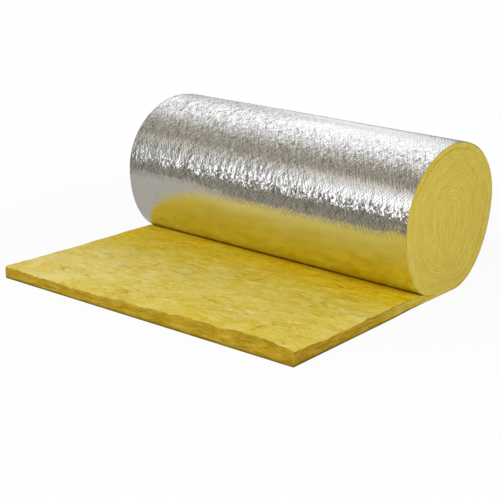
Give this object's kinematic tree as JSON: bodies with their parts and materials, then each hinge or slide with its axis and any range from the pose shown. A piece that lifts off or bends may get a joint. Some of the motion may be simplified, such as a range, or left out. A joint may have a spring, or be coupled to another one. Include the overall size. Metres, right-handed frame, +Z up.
{
  "type": "foil-faced glass-wool insulation roll",
  "caption": "Partly unrolled glass-wool blanket with a foil facing: a sagged roll wound foil side out, its loose end lying flat, for wrapping ducts or lining walls and roofs.",
  "frame": {"origin": "on the floor, below the eye of the roll, at the middle of the blanket's width", "axes": "+X along the roll, -Y towards the cut end of the loose stretch, +Z up"},
  "size_m": [1.2, 1.1872, 0.523],
  "materials": {
    "glass_wool": "matte",
    "foil": "satin"
  },
  "bodies": {
    "root": {"wool_blanket": "glass_wool", "foil_facing": "foil"}
  },
  "joints": []
}
